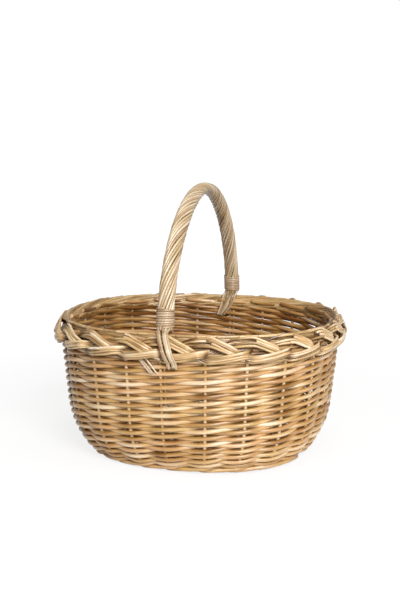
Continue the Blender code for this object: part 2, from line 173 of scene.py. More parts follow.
def wall_table():
    """The wall's middle up from the base's edge: run, inset, height and outward normal.

    It goes on a little way under the base, at runs below 0, and up behind the plait.
    """
    swings = np.linspace(0, math.pi / 2, 41)
    rises = CORNER_HEIGHT * (1 - np.cos(swings))
    rim = SIDING_TOP + RIM_RISE
    heights = np.array([FOOT_HEIGHT, FOOT_HEIGHT, *(FOOT_HEIGHT + rises), SIDING_TOP, rim])
    corner = CORNER_REACH * (1 - np.sin(swings))
    flat = CORNER_REACH + FOOT_FLAT
    corners = np.array([flat + FOOT_LEAD, flat, *corner, 0, RIM_TUCK])
    leans = WALL_LEAN * np.maximum(SIDING_TOP - heights, 0) / (SIDING_TOP - FOOT_HEIGHT)
    insets = TOP_INSET + corners + leans
    runs = np.concatenate([[0], np.cumsum(np.hypot(np.diff(insets), np.diff(heights)))]) - FOOT_LEAD
    outs, ups = np.gradient(heights, runs), np.gradient(insets, runs)
    lengths = np.hypot(outs, ups)
    return runs, insets, heights, outs / lengths, ups / lengths


WALL = wall_table()
WALL_RUN = WALL[0][-2]
BASE_LENGTH = BORDER_LENGTH - 2 * (WALL[1][1] + BASE_EDGE_GAP)
BASE_WIDTH = BORDER_WIDTH - 2 * (WALL[1][1] + BASE_EDGE_GAP)
SLATH_LENGTH = 0.55 * BASE_LENGTH


def on_wall(turn, run, offset=0.0):
    """Points at a turn round the wall and a run up it, offset outward from the middle of its stakes."""
    inset, height, out, up = (np.interp(run, WALL[0], column) for column in WALL[1:])
    return on_oval(turn, inset - offset * out, height + offset * up)


def wall_face(turn, run):
    """The wall's outward direction."""
    return on_wall(turn, run, MM) - on_wall(turn, run, 0.0)


def in_plait(turn, across, outward):
    """Points of the plait, across its width towards the crest and outward from its middle.

    Its lower edge curls back in to the wall.
    """
    curl = PLAIT_CURL * np.maximum(-CURL_START - across, 0) ** 2
    out = outward * math.cos(PLAIT_LEAN) - across * math.sin(PLAIT_LEAN) - curl
    up = outward * math.sin(PLAIT_LEAN) + across * math.cos(PLAIT_LEAN)
    place = on_oval(turn, 0.0, 0.0)
    drop = CREST_DROP - CREST_TILT * (place[..., 0] / BORDER_LENGTH + place[..., 1] / BORDER_WIDTH)
    up = up - drop * np.clip(0.5 + across / (2 * PLAIT_SWING), 0, 1)
    return on_oval(turn, PLAIT_INSET - out, PLAIT_HEIGHT + up)


def plait_face(turn):
    """The plait's outward direction."""
    return in_plait(turn, 0, MM) - in_plait(turn, 0, 0)


def place_turn(place):
    """The turn of one of the evenly spaced places for stakes, with two of them at the handle."""
    return (place + 0.5) / STAKE_COUNT


def shift(length, inset=0.0):
    """The part of a turn that a length along the oval takes, at an inset."""
    return length / (PERIMETER * (1 - 2 * inset / BORDER_LENGTH))


def stake_turn(place):
    """The turn of a stake, which stands aside at the handle to leave room for the bow's end."""
    if place not in HANDLE_PLACES:
        return place_turn(place)
    lowest = np.interp(WALL_RUN - BOW_DEPTH, WALL[0], WALL[1])
    return place_turn(place) - shift((STAKE_DIAMETER + BOW_POINT_DIAMETER) / 2 + CLEARANCE, lowest)


def arch_table():
    """The handle's middle above its springing: run along it, place across the basket and height."""
    angles = np.linspace(0, math.pi, 1441)
    power = 2 / HANDLE_POWER
    c, s = np.cos(angles), np.abs(np.sin(angles))
    across = -HANDLE_REACH * np.sign(c) * np.abs(c) ** power
    heights = HANDLE_SPRING + (HANDLE_HEIGHT - HANDLE_SPRING) * s ** power
    runs = np.concatenate([[0], np.cumsum(np.hypot(np.diff(across), np.diff(heights)))])
    return runs, across, heights


ARCH = arch_table()
ARCH_RUN = ARCH[0][-1]


def on_arch(run, radius=0.0, angle=0.0):
    """Points round the handle's middle. Angle 0 faces away from the basket's middle."""
    run = np.atleast_1d(run).astype(float)
    step = ARCH_RUN / 240
    place = [np.interp(run + way * step, ARCH[0], column) for way in (-1, 0, 1) for column in ARCH[1:]]
    forward = np.stack([place[4] - place[0], place[5] - place[1]], -1)
    forward /= np.linalg.norm(forward, axis=-1, keepdims=True)
    out, side = radius * np.cos(angle), radius * np.sin(angle)
    across = place[2] / HANDLE_REACH
    lean = HANDLE_LEAN * (1.8 + 0.8 * across + 1.4 * (1 - across * across))
    return np.stack([side + lean, place[2] - out * forward[:, 1], place[3] + out * forward[:, 0]], -1)


def smooth(points, count):
    """A smooth curve of count points through the given ones."""
    points = np.asarray(points, float)
    runs = np.concatenate([[0], np.cumsum(np.linalg.norm(np.diff(points, axis=0), axis=1))])
    slopes = np.gradient(points, runs, axis=0)
    places = np.linspace(0, runs[-1], count)
    cell = np.clip(np.searchsorted(runs, places, side="right") - 1, 0, len(runs) - 2)
    width = (runs[cell + 1] - runs[cell])[:, None]
    t = (places - runs[cell])[:, None] / width
    start, end = points[cell], points[cell + 1]
    bend = t * t * (3 - 2 * t)
    ease_in, ease_out = t * (1 - t) ** 2 * width, t * t * (t - 1) * width
    return start + (end - start) * bend + slopes[cell] * ease_in + slopes[cell + 1] * ease_out


def unit(vectors):
    """Vectors of length 1 in the same directions."""
    return vectors / np.maximum(np.linalg.norm(vectors, axis=-1, keepdims=True), 1e-12)


# A rod's cut edge is rounded over this share of its half-width, down to this share of its size.
EDGE_LENGTH = 0.12
EDGE_SIZE = 0.88


class Bundle:
    """The mesh of one piece, gathered rod by rod.

    Each vertex keeps its grain, which is its place in the straightened rod, and its tone: the rod's own
    shade, the stroke's less any painted shade, how far it is along the rod from butt to tip, and 1 on a
    cut end.
    """

    def __init__(self, seed):
        self.random = np.random.default_rng(seed)
        self.points, self.grain, self.tone = [], [], []
        self.quads, self.fans, self.count = [], [], 0

    def ring_block(self, rings, grain, tone):
        """Adds rings of vertices with faces between them."""
        steps, sides = rings.shape[:2]
        first = self.count
        row = first + np.arange(steps - 1)[:, None] * sides
        i, j = np.arange(sides), (np.arange(sides) + 1) % sides
        faces = [row + i, row + j, row + sides + j, row + sides + i]
        self.quads.append(np.stack(faces, -1).reshape(-1, 4))
        self.points.append(rings.reshape(-1, 3))
        self.grain.append(grain.reshape(-1, 3))
        self.tone.append(tone.reshape(-1, 4))
        self.count += steps * sides

    def cap(self, ring, middle, outward_first, tone, grain):
        """Closes a rod with a flat cut face of its own vertices."""
        sides, first = len(ring), self.count
        self.points.append(np.vstack([ring, middle[None]]))
        self.grain.append(np.vstack([grain, grain.mean(0)[None]]))
        self.tone.append(np.tile([*tone[:3], 1.0], (sides + 1, 1)))
        for i in range(sides):
            j = (i + 1) % sides
            pair = (first + j, first + i) if outward_first else (first + i, first + j)
            self.fans.append((*pair, first + sides))
        self.count += sides + 1

    def rod(
        self, points, face, radius, flat=1.0, sides=10, shade=None, stroke=None, floor=None, inside=0.0
    ):
        """A rod along its points, whose outer side looks the way that face points.

        radius is half its width at each point, and flat its thickness over its width. Its ends are cut
        square with a slightly rounded edge. A floor wears it flat underneath, and inside is how much
        painted shade dims the rod's other, inner half in its tone.
        """
        points = np.asarray(points, float)
        steps = len(points)
        forward = unit(np.gradient(points, axis=0))
        side = unit(np.cross(forward, np.broadcast_to(face, points.shape)))
        up = np.cross(side, forward)
        radius = np.broadcast_to(radius, steps).astype(float)
        shade = self.random.random() if shade is None else shade
        stroke = np.full(steps, 0.5) if stroke is None else np.broadcast_to(stroke, steps)
        run = np.concatenate([[0], np.cumsum(np.linalg.norm(np.diff(points, axis=0), axis=1))])
        along = np.concatenate([[0], run / run[-1], [1]])
        edge = EDGE_LENGTH * radius[[0, -1], None]
        ends = points[[0, -1]] + np.array([[-1], [1]]) * edge * forward[[0, -1]]
        middle = np.vstack([ends[:1], points, ends[1:]])
        size = np.concatenate([EDGE_SIZE * radius[:1], radius, EDGE_SIZE * radius[-1:]])
        side, up = side[[0, *range(steps), -1]], up[[0, *range(steps), -1]]
        angle = TAU * np.arange(sides) / sides
        across = (size[:, None] * np.cos(angle))[..., None] * side[:, None]
        thick = (size[:, None] * flat * np.sin(angle))[..., None] * up[:, None]
        rings = middle[:, None] + across + thick
        if floor is not None:
            rings[..., 2] = np.maximum(rings[..., 2], floor)
        start = 5 * self.random.random(3)
        length = np.concatenate([[0], run, [run[-1]]])
        grain = np.stack(
            [
                np.broadcast_to(length[:, None], rings.shape[:2]),
                size[:, None] * np.cos(angle),
                size[:, None] * np.sin(angle),
            ],
            -1,
        ) + start
        tone = np.zeros((*rings.shape[:2], 4))
        tone[..., 0] = shade
        # Painted shade: the rod's inner half is dimmed in its tone, by inside.
        painted_shade = inside * (1 - np.sin(angle)) / 2
        tone[..., 1] = np.concatenate([stroke[:1], stroke, stroke[-1:]])[:, None] - painted_shade
        tone[..., 2] = along[:, None]
        self.ring_block(rings, grain, tone)
        self.cap(rings[0], rings[0].mean(0), True, tone[0, 0], grain[0])
        self.cap(rings[-1], rings[-1].mean(0), False, tone[-1, 0], grain[-1])

    def build(self, name, finish):
        """The piece itself: shown in place of the CAD node of the same name, on the root body."""
        quads = np.concatenate(self.quads)
        corners = np.concatenate([quads.ravel(), np.array(self.fans).ravel()]).astype(np.int32)
        sizes = np.concatenate([np.full(len(quads), 4), np.full(len(self.fans), 3)])
        mesh = bpy.data.meshes.new(name)
        mesh.vertices.add(self.count)
        mesh.vertices.foreach_set("co", np.concatenate(self.points).ravel())
        mesh.loops.add(len(corners))
        mesh.loops.foreach_set("vertex_index", corners)
        mesh.polygons.add(len(sizes))
        starts = np.concatenate([[0], np.cumsum(sizes)[:-1]]).astype(np.int32)
        mesh.polygons.foreach_set("loop_start", starts)
        mesh.polygons.foreach_set("use_smooth", sizes == 4)
        mesh.update(calc_edges=True)
        grain = mesh.attributes.new("grain", "FLOAT_VECTOR", "POINT")
        grain.data.foreach_set("vector", np.concatenate(self.grain).ravel())
        tone = mesh.attributes.new("tone", "FLOAT_COLOR", "POINT")
        tone.data.foreach_set("color", np.concatenate(self.tone).ravel())
        mesh.validate()
        mesh.materials.append(finish)
        piece = bpy.data.objects.new(f"woven_{name}", mesh)
        bpy.context.scene.collection.objects.link(piece)
        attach(piece, "root")
        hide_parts(name)


def wander(random, count, knots, amount):
    """A slow random drift of about that amount, over count places."""
    values = random.normal(0, amount, knots + 3)
    places = np.linspace(1, knots, count)
    cell = np.floor(places).astype(int)
    t = places - cell
    bend = t * t * (3 - 2 * t)
    return values[cell] * (1 - bend) + values[cell + 1] * bend


def bell(values, middle, width):
    """A bell curve of height 1 over the values."""
    return np.exp(-(((values - middle) / width) ** 2))


def spread(values, knots, count):
    """Places, count of them from each knot to the next, and the values eased over them."""
    places = np.linspace(0, len(knots) - 1, (len(knots) - 1) * count + 1)
    cell = np.clip(np.floor(places).astype(int), 0, len(knots) - 2)
    t = places - cell
    bend = (1 - np.cos(math.pi * t)) / 2
    eased = values[cell] * (1 - bend) + values[cell + 1] * bend
    return knots[cell] * (1 - t) + knots[cell + 1] * t, eased


# Finishes

# How densely patches, streaks and scars lie along and across a rod, per metre.
PATCH_SCALES = (22.0, 90.0, 90.0)
STREAK_SCALES = (30.0, 900.0, 900.0)
SCAR_SCALES = (26.0, 330.0, 330.0)
SCAR_COLOUR = (0.42, 0.25, 0.13, 1)
PITH_COLOUR = (0.75, 0.60, 0.38, 1)
# Each slot's dark, middle and light colours, its roughness and its coat.
FINISHES = {
    "stake_willow": ((0.20, 0.09, 0.03), (0.62, 0.41, 0.20), (0.84, 0.66, 0.43), 0.38, 0.9),
    "weaver_willow": ((0.16, 0.062, 0.018), (0.56, 0.34, 0.145), (0.89, 0.735, 0.52), 0.36, 1.0),
    "border_willow": ((0.085, 0.033, 0.010), (0.60, 0.405, 0.20), (0.90, 0.775, 0.59), 0.34, 1.0),
    "handle_willow": ((0.17, 0.085, 0.035), (0.52, 0.385, 0.24), (0.78, 0.685, 0.54), 0.34, 1.0),
    "binding_cane": ((0.20, 0.12, 0.060), (0.43, 0.31, 0.18), (0.66, 0.53, 0.37), 0.32, 0.9),
    "base_willow": ((0.20, 0.10, 0.035), (0.42, 0.24, 0.10), (0.60, 0.41, 0.21), 0.48, 0.3),
}


def willow(name, dark, middle, light, roughness, coat):
    """A willow finish whose streaks, spots and scars follow each rod's grain."""
    material = bpy.data.materials.new(f"{name}_rods")
    material["slot"] = name
    material.use_nodes = True
    nodes, links = material.node_tree.nodes, material.node_tree.links
    shader = nodes["Principled BSDF"]

    def node(kind, **inputs):
        """A new node with its inputs set or linked."""
        made = nodes.new(kind)
        for key, value in inputs.items():
            socket = made.inputs[int(key[1:]) if key[0] == "i" and key[1:].isdigit() else key]
            if isinstance(value, bpy.types.NodeSocket):
                links.new(value, socket)
            else:
                socket.default_value = value
        return made

    def maths(operation, a, b, clamp=False):
        """The result of a maths node."""
        made = node("ShaderNodeMath", i0=a, i1=b)
        made.operation = operation
        made.use_clamp = clamp
        return made.outputs[0]

    def mixed(kind, share, a, b):
        """Two colours mixed."""
        made = nodes.new("ShaderNodeMix")
        made.data_type = "RGBA"
        made.blend_type = kind
        for socket, value in ((0, share), (6, a), (7, b)):
            if isinstance(value, bpy.types.NodeSocket):
                links.new(value, made.inputs[socket])
            else:
                made.inputs[socket].default_value = value
        return made.outputs[2]

    def stretched(scales):
        """The rod's grain at scales along and across it."""
        made = node("ShaderNodeVectorMath", i0=grain, i1=scales)
        made.operation = "MULTIPLY"
        return made.outputs[0]

    def noise(scales, detail):
        """Noise in the rod's grain, at scales along and across it."""
        made = node("ShaderNodeTexNoise", Vector=stretched(scales), Scale=1.0, Detail=detail)
        return made.outputs[0]

    grain_node = nodes.new("ShaderNodeAttribute")
    grain_node.attribute_name = "grain"
    grain = grain_node.outputs["Vector"]
    tone_node = nodes.new("ShaderNodeAttribute")
    tone_node.attribute_name = "tone"
    tone = node("ShaderNodeSeparateColor", Color=tone_node.outputs["Color"])

    patches = noise(PATCH_SCALES, 2.0)
    streaks = noise(STREAK_SCALES, 3.0)
    value = maths("MULTIPLY", tone.outputs[0], 0.46)
    value = maths("ADD", value, maths("MULTIPLY", tone.outputs[1], 0.34))
    value = maths("ADD", value, maths("MULTIPLY", maths("SUBTRACT", patches, 0.5), 0.9))
    value = maths("ADD", value, maths("MULTIPLY", maths("SUBTRACT", streaks, 0.5), 0.5))
    value = maths("ADD", value, 0.1, True)
    ramp = node("ShaderNodeValToRGB", Fac=value)
    stops = ramp.color_ramp.elements
    stops[0].position, stops[0].color = 0.04, (*dark, 1)
    stops[1].position, stops[1].color = 0.96, (*light, 1)
    centre = stops.new(0.5)
    centre.color = (*middle, 1)

    lot = maths("FRACT", maths("MULTIPLY", tone.outputs[0], 7.3), 0.0)
    tint = node("ShaderNodeHueSaturation", Color=ramp.outputs[0])
    links.new(maths("ADD", maths("MULTIPLY", lot, 0.013), 0.4935), tint.inputs["Hue"])
    links.new(maths("SUBTRACT", 1.20, maths("MULTIPLY", value, 0.28)), tint.inputs["Saturation"])
    scars = node("ShaderNodeTexVoronoi", Vector=stretched(SCAR_SCALES), Scale=1.0)
    scar = maths("SUBTRACT", 1.0, maths("MULTIPLY", scars.outputs["Distance"], 4.6), True)
    colour = mixed("MULTIPLY", maths("MULTIPLY", scar, 0.55), tint.outputs[0], SCAR_COLOUR)
    cut_end = maths("MULTIPLY", tone_node.outputs["Alpha"], 0.5)
    pith = mixed("MIX", cut_end, colour, PITH_COLOUR)
    links.new(pith, shader.inputs["Base Color"])
    shine = maths("ADD", roughness - 0.07, maths("MULTIPLY", streaks, 0.14))
    links.new(shine, shader.inputs["Roughness"])
    shader.inputs["Coat Weight"].default_value = coat
    shader.inputs["Coat Roughness"].default_value = 0.34
    height = maths("ADD", maths("MULTIPLY", streaks, 0.5), maths("MULTIPLY", scar, 0.8))
    bump = node("ShaderNodeBump", Height=height, Strength=0.35, Distance=0.0006)
    links.new(bump.outputs[0], shader.inputs["Normal"])
    return material


def make_materials():
    """The part's six finishes, by slot."""
    return {name: willow(name, *values) for name, values in FINISHES.items()}


# Pieces

STAKE_STEPS = 54


def make_stakes(material):
    """Upright stakes, thicker at the foot."""
    for place in range(STAKE_COUNT):
        bundle = Bundle(100 + place)
        turn = stake_turn(place)
        runs = np.linspace(-FOOT_LEAD, WALL_RUN + STAKE_RISE, STAKE_STEPS)
        size = np.linspace(2.5, 2.1, STAKE_STEPS) * MM
        # Painted shade on each stake's inner half.
        bundle.rod(on_wall(turn, runs, 1.0 * MM), wall_face(turn, runs), size, inside=0.4)
        bundle.build(f"stake_{place + 1:02d}", material)


# The weavers lie closer to the stakes' middle than straight rods could, because real stakes give way
WEAVER_SWING = 0.0035
# A weaver's half-width at its butt, how much it thins to its tip and swells beside a stake, all in mm.
WEAVER_BUTT, WEAVER_THINNING, WEAVER_SWELL = 2.90, 0.24, 0.20
# How deep its ends are tucked in behind their stakes, in mm, and over how many of its points.
TUCK_DEPTH, TUCK_POINTS = 1.6, 8
# Its points from stake to stake, and those that stand out past its first stake and its last.
SIDING_STEPS, BUTT_POINTS, TIP_POINTS = 9, 5, 3


def make_siding(material):
    """In each band one rod starts at each stake, and all climb one row from stake to stake.

    Each of a band's two pieces holds every second rod.
    """
    start = WALL_RUN - WEAVER_DIAMETER / 2 - (2 * sum(SIDING_ROUNDS) + 0.5) * ROW_PITCH
    for band, rounds in enumerate(SIDING_ROUNDS):
        rows = 2 * (rounds + (RIM_ROUNDS if band == len(SIDING_ROUNDS) - 1 else 0))
        for half in range(2):
            bundle = Bundle(200 + 2 * band + half)
            random = bundle.random
            for first in range(half, STAKE_COUNT, 2):
                knots, steps_up = [], []
                for up in range(-1, rows + 2):
                    lap, place = divmod(first + up, STAKE_COUNT)
                    turns_here = [stake_turn(place)] + [place_turn(place)] * (place in HANDLE_PLACES)
                    knots += [lap + turn for turn in turns_here]
                    steps_up += [up] * len(turns_here)
                knots, steps_up = np.array(knots), np.array(steps_up)
                sides = np.where(steps_up % 2, 1, -1)
                offsets = sides * (WEAVER_SWING + random.normal(0, 0.15, len(sides)) * MM)
                rises = random.normal(0, 0.16, len(sides)) * MM
                shades = np.clip(random.normal(0.5, 0.20, len(sides)), 0, 1)
                turns, offset = spread(offsets, knots, SIDING_STEPS)
                _, rise = spread(rises, knots, SIDING_STEPS)
                _, stroke = spread(shades, knots, SIDING_STEPS)
                runs = start + ROW_PITCH * (turns * STAKE_COUNT - 0.5 - first) + rise
                points = on_wall(turns, runs, offset)
                faces = wall_face(turns, runs)
                low = int(np.argmax(steps_up == 0)) * SIDING_STEPS - BUTT_POINTS
                last = len(steps_up) - 1 - int(np.argmax(steps_up[::-1] == rows))
                high = last * SIDING_STEPS + TIP_POINTS
                part = slice(low, high + 1)
                share = np.linspace(0, 1, high + 1 - low)
                size = WEAVER_BUTT - WEAVER_THINNING * share + wander(random, len(share), 8, 0.06)
                size += WEAVER_SWELL * np.abs(offset[part]) / WEAVER_SWING
                path = points[part].copy()
                tuck = np.clip(1 - np.arange(len(path)) / TUCK_POINTS, 0, 1)
                path -= (tuck + tuck[::-1])[:, None] * TUCK_DEPTH * MM * unit(faces[part])
                shade = np.clip(random.normal(0.5, 0.15), 0, 1)
                # Painted shade on each weaver's inner half, for the basket's shadowed inside.
                bundle.rod(path, faces[part], size * MM, 1.0, 12, shade, stroke[part], inside=0.8)
            bundle.build(f"siding_{band + 1}_weaver_{half + 1}", material)
        start += 2 * rounds * ROW_PITCH


def make_foot_wale(material):
    """Thick rods that each pass before two stakes and behind the third, worn flat underneath."""
    lift = WALE_DIAMETER / 2 + 2 * CLEARANCE
    climb = 2 * lift + WALE_DIAMETER + CLEARANCE
    stations = (
        ((-WALE_OFFSET, 0), (0, -lift)),
        ((WALE_OFFSET, -lift), (WALE_OFFSET, 0)),
        ((WALE_OFFSET, lift), (0, lift)),
    )
    for number in range(WALE_RODS):
        bundle = Bundle(300 + number)
        random = bundle.random
        knots, offsets, rises = [], [], []
        for step in range(-WALE_LEAD, WALE_STAKES + 2 - number):
            lap, place = divmod(step + number, STAKE_COUNT)
            turn = lap + stake_turn(place)
            following, next_place = divmod(step + number + 1, STAKE_COUNT)
            after = following + stake_turn(next_place)
            for share, (offset, rise) in zip((0, 0.5), stations[step % WALE_RODS]):
                knots.append(turn + share * (after - turn))
                offsets.append(offset)
                rises.append(rise)
        knots, offsets, rises = np.array(knots), np.array(offsets), np.array(rises)
        steps = 5
        shades = np.clip(random.normal(0.5, 0.2, len(knots)), 0, 1)
        turns, offset = spread(offsets, knots, steps)
        _, rise = spread(rises, knots, steps)
        _, stroke = spread(shades, knots, steps)
        runs = WALE_START + lift + climb * turns + rise
        points, faces = on_wall(turns, runs, offset), wall_face(turns, runs)
        half = len(points) // 2
        for part in (slice(0, half + 6), slice(half - 6, len(points))):
            share = np.linspace(0, 1, len(points[part]))
            size = 3.3 - 0.3 * share + wander(random, len(share), 16, 0.05)
            bundle.rod(points[part], faces[part], size * MM, 0.95, 12, None, stroke[part], 0.0)
        bundle.build(f"foot_wale_{number + 1}", material)


def stick_ends():
    """Each stick end's name, its point at the slath and its point at the base's edge, in turn order."""
    ends = []
    for number in range(CROSS_STICKS):
        share = CROSS_SPREAD_SHARE * (2 * number / (CROSS_STICKS - 1) - 1)
        rest = (1 - abs(share) ** OVAL_POWER) ** (1 / OVAL_POWER)
        for way in (1, -1):
            near = np.array([SLATH_LENGTH / 2 * share, way * SLATH_WIDTH / 2 * rest])
            far = np.array([BASE_LENGTH / 2 * share, way * BASE_WIDTH / 2 * rest])
            ends.append((f"cross_stick_{number + 1}", near, far))
    for number in range(LONG_STICKS):
        rank = number - (LONG_STICKS - 1) / 2
        share = LONG_FAN_SHARE * rank
        rest = (1 - abs(share) ** OVAL_POWER) ** (1 / OVAL_POWER)
        for way in (1, -1):
            near = np.array([way * SLATH_LENGTH / 2, rank * (STICK_DIAMETER + CLEARANCE)])
            far = np.array([way * BASE_LENGTH / 2 * rest, BASE_WIDTH / 2 * share])
            ends.append((f"long_stick_{number + 1}", near, far))
    return sorted(ends, key=lambda end: math.atan2(end[2][1], end[2][0]))


def on_base(end, share, offset=0.0):
    """A point along a stick's end, from the slath at share 0 to the base's edge at 1."""
    place = end[1] + (end[2] - end[1]) * share
    return np.array([*place, BASE_HEIGHT + BASE_DOME * (1 - share) + offset])


def make_base(material):
    """Long sticks through slit cross sticks, and two weavers that chase each other out from them."""
    ends = stick_ends()
    pairs = {}
    for end in ends:
        pairs.setdefault(end[0], []).append(end)
    up = np.array([0.0, 0.0, 1.0])
    for index, (name, (first, second)) in enumerate(sorted(pairs.items())):
        bundle = Bundle(400 + index)
        outer = [on_base(first, share) for share in (1, 0.75, 0.5, 0.25, 0.0)]
        other = [on_base(second, share) for share in (0.0, 0.25, 0.5, 0.75, 1)]
        if name.startswith("long"):
            bundle.rod(smooth([*outer, *other], 60), up, STICK_DIAMETER / 2)
        else:
            way = math.copysign(1, first[1][1])
            x, full = first[1][0], (SLIT_WIDTH + SLIT_CHEEK) / 2
            for lift in (1, -1):
                height = (STICK_DIAMETER + 2 * CLEARANCE) / 2 + SLIT_CHEEK / 2
                slit, reach = [], full + SLIT_TAPER
                for place, part in ((reach, 0.42), (full, 1), (0, 1), (-full, 1), (-reach, 0.42)):
                    slit.append((x, way * place, BASE_HEIGHT + BASE_DOME + lift * part * height))
                bundle.rod(smooth(slit, 24), up, STICK_DIAMETER / 2, 0.52)
            for tip in (outer, other[::-1]):
                sign = math.copysign(1, tip[-1][1])
                root = (x, sign * (full + SLIT_TAPER - MM), BASE_HEIGHT + BASE_DOME)
                bundle.rod(smooth([*tip, root], 30), up, STICK_DIAMETER / 2)
        bundle.build(name, material)
    offset = (STICK_DIAMETER + WEAVER_DIAMETER) / 2 + BASE_SLACK
    for chaser in range(2):
        bundle = Bundle(420 + chaser)
        points, side = [], 1 - 2 * chaser
        for step in range(BASE_ROUNDS * len(ends)):
            lap, index = divmod(step, len(ends))
            same_bundle = ends[index][0][:4] == ends[index - 1][0][:4] == "long"
            if not (same_bundle and lap < BUNDLED_ROUNDS):
                side = -side
            row = 2 * step / len(ends) + chaser
            share = BASE_START + (BASE_REACH - BASE_START) * row / (2 * BASE_ROUNDS)
            points.append(on_base(ends[index], share, side * offset))
        path = smooth(points, 8 * len(points))
        shade = np.clip(bundle.random.normal(0.5, 0.2, len(path) // 20 + 2), 0, 1)
        stroke = np.interp(np.linspace(0, len(shade) - 1, len(path)), np.arange(len(shade)), shade)
        bundle.rod(path, up, 2.4 * MM, 0.9, 10, None, stroke)
        bundle.build(f"base_weaver_{chaser + 1}", material)


def periodic(places, values, blur):
    """A table over one period: straight between the given places, with rounded corners."""
    count = 720
    table = np.interp(np.arange(count) / count, places, values, period=1)
    offsets = np.arange(-60, 61)
    weights = np.exp(-((offsets / count / blur) ** 2) / 2)
    return sum(np.roll(table, int(o)) * w for o, w in zip(offsets, weights / weights.sum()))


# A strand's place across the plait and its depth, over one period. It drops steeply from the crest over
# the strands that climb, dives under them, and climbs back slowly.
STRAND_WAVE = periodic(
    (0.02, 0.07, 0.14, 0.21, 0.51, 0.56, 0.64, 0.72, 0.80, 0.88, 0.95),
    (0.76, 0.86, 0.92, 0.86, -1.38, -1.42, -1.27, -1.02, -0.70, -0.25, 0.30),
    0.017,
)
STRAND_DEPTH = periodic(
    (0.05, 0.13, 0.20, 0.36, 0.43, 0.50, 0.56, 0.62, 0.78, 0.85, 0.91, 0.98),
    (-0.6, 0.4, 1.0, 0.95, -1.0, -0.7, 0.6, 1.0, 0.9, -1.2, -1.6, -1.1),
    0.012,
)
# How far apart a strand's rods lie over one period.
LANE_SPREAD = periodic(
    (0, 0.2, 0.3, 0.42, 0.5, 0.62, 0.75, 0.9),
    (1, 1.05, 1, 0.92, 0.88, 0.88, 0.9, 0.95),
    0.03,
)
# Where each strand's rods start. After a lap each strand is its neighbour's continuation.
STRAND_STARTS = (0.38, 0.38, -0.62)
STRAND_END = 7.48
STRAND_SWING = 0.0116
STRAND_LANES = 4
# A strand's rods are this wide from the middle at their butts and their tips, in mm.
PLAIT_BUTT, PLAIT_TIP = 1.85, 1.5
# Rods that lie inside the plait, behind its strands.
CORE_PLACES = (-0.0065, 0.0, 0.0060)
CORE_DEPTH = 0.0052
LANE_PITCH = 0.0038


def plait_path(period, number, lane, wobble, lift):
    """A strand's rod at places counted in its periods: its points, its face and how deep it dives,
    which is painted shade there.
    """
    place = np.mod(period, 1.0) * len(STRAND_WAVE)
    cells = np.arange(len(STRAND_WAVE))
    tables = (STRAND_WAVE, STRAND_DEPTH, LANE_SPREAD)
    wave, depth, wide = (np.interp(place, cells, table, period=len(cells)) for table in tables)
    at = (lane - (STRAND_LANES - 1) / 2) * LANE_PITCH * wide + wobble
    stagger = (1 - wide) * (lane % 2 - 0.5) * 4 * MM
    turn = (period + number / STRAND_COUNT) * STRAND_COUNT / STAKE_COUNT + shift(0.12 * at)
    wave = np.where(wave < 0, wave * (1 + 0.25 * bell(turn, 0.53, 0.07)), wave)
    wave = np.where(wave > 0, wave * (1 - 0.15 * bell(np.mod(turn, 1), 0.25, 0.14)), wave)
    points = in_plait(turn, STRAND_SWING * wave + 0.97 * at, PLAIT_DEPTH * depth + stagger + lift)
    return points, unit(plait_face(turn)), np.clip(0.2 - depth, 0, 1)


